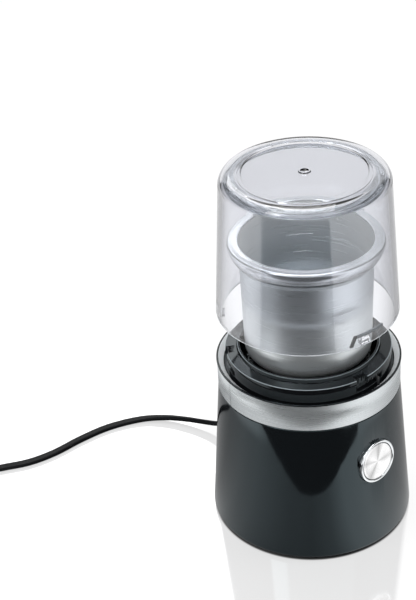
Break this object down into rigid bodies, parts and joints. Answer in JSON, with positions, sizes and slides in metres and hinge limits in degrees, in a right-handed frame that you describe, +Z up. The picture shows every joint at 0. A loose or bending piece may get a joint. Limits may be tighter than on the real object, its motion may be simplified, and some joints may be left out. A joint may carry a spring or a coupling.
{
  "type": "electric spice grinder",
  "caption": "Electric spice grinder: round motor base with push button and steel trim band, lift-out steel cup with chopping blade, clear twist-on lid, mains lead with flat plug.",
  "frame": {"origin": "on the table under the motor shaft, at the middle of the base", "axes": "+Z up along the motor shaft; the button faces -Y and the mains lead leaves the back, towards +Y"},
  "size_m": [0.2671, 0.2097, 0.1963],
  "materials": {
    "housing": "glossy anthracite",
    "deck_black": "semi-gloss black",
    "band_steel": "brushed",
    "cup_steel": "brushed and polished",
    "bezel_chrome": "polished",
    "button_alu": "spun",
    "lid_clear": "clear moulded plastic",
    "seal_grey": "matte",
    "rubber_black": "matte",
    "plastic_black": "moulded",
    "plastic_white": "moulded",
    "steel": "plain",
    "copper": "enamelled copper",
    "bronze": "sintered",
    "carbon": "carbon",
    "lead_black": "flexible PVC"
  },
  "bodies": {
    "base": {"housing_shell": "housing", "trim_band": "band_steel", "deck": "deck_black", "deck_screws": "steel", "base_plate": "plastic_black", "rubber_feet": "rubber_black", "base_screws": "steel", "button_bezel": "bezel_chrome", "switch_bracket": "plastic_black", "grind_switch": "plastic_black", "interlock_spring": "steel", "interlock_bracket": "plastic_black", "interlock_switch": "plastic_black", "high_bracket": "steel", "low_bracket": "steel", "motor_bolts": "steel", "rubber_mounts": "rubber_black", "mount_screws": "steel", "stator_core": "steel", "field_coils": "copper", "high_bearing": "bronze", "low_bearing": "bronze", "brush_holders": "bronze", "carbon_brushes": "carbon", "well_seal": "rubber_black", "terminal_block": "plastic_white", "cord_clamp": "plastic_black", "clamp_screws": "steel", "cord_tail": "lead_black", "strain_relief": "lead_black", "mains_cord": "lead_black", "cord_coil": "lead_black", "plug_body": "lead_black", "plug_pins": "bronze"},
    "rotor": {"motor_shaft": "steel", "armature_core": "steel", "armature_winding": "copper", "commutator": "copper", "cooling_fan": "plastic_white", "drive_coupling": "plastic_white"},
    "button": {"button_cap": "button_alu", "button_stem": "plastic_black"},
    "grind_plunger": {"switch_plunger": "plastic_white"},
    "interlock": {"interlock_pin": "plastic_white"},
    "lock_plunger": {"interlock_plunger": "plastic_white"},
    "cup": {"cup_shell": "cup_steel", "cup_collar": "cup_steel", "cup_foot": "plastic_black", "cup_bush": "bronze", "shaft_seal": "seal_grey"},
    "blade": {"blade_shaft": "steel", "chopping_blade": "cup_steel", "blade_nut": "steel", "cup_coupling": "plastic_white"},
    "seal": {"lid_seal": "seal_grey"},
    "lid": {"lid_shell": "lid_clear"}
  },
  "joints": [
    {"name": "motor_spin", "type": "hinge", "parent": "base", "child": "rotor", "pos_m": [0, 0, 0.05], "axis": [0, 0, 1], "continuous": true},
    {"name": "cup_lift", "type": "slide", "parent": "base", "child": "cup", "axis": [0, 0, 1], "range_m": [0, 0.03]},
    {"name": "blade_spin", "type": "hinge", "parent": "cup", "child": "blade", "pos_m": [0, 0, 0.1], "axis": [0, 0, 1], "continuous": true},
    {"name": "lid_lift", "type": "slide", "parent": "cup", "child": "seal", "axis": [0, 0, 1], "range_m": [-0.028, 0.05]},
    {"name": "lid_twist", "type": "hinge", "parent": "seal", "child": "lid", "pos_m": [0, 0, 0.15], "axis": [0, 0, 1], "range_deg": [0, 16]},
    {"name": "button_press", "type": "slide", "parent": "base", "child": "button", "axis": [0, 0.997, -0.077], "range_m": [0, 0.002], "stiffness_N_per_m": 600, "springref_m": -0.001},
    {"name": "grind_plunger_press", "type": "slide", "parent": "base", "child": "grind_plunger", "axis": [0, 0.997, -0.077], "range_m": [0, 0.002]},
    {"name": "interlock_press", "type": "slide", "parent": "base", "child": "interlock", "axis": [0, 0, -1], "range_m": [0, 0.0018], "stiffness_N_per_m": 400, "springref_m": -0.0015, "deforming": ["interlock_spring"]},
    {"name": "lock_plunger_press", "type": "slide", "parent": "base", "child": "lock_plunger", "axis": [0, 0, -1], "range_m": [0, 0.0018]}
  ],
  "couplings": [
    {"joint": "blade_spin", "follows": "motor_spin", "ratio": 1},
    {"joint": "grind_plunger_press", "follows": "button_press", "ratio": 1},
    {"joint": "lock_plunger_press", "follows": "interlock_press", "ratio": 1}
  ]
}
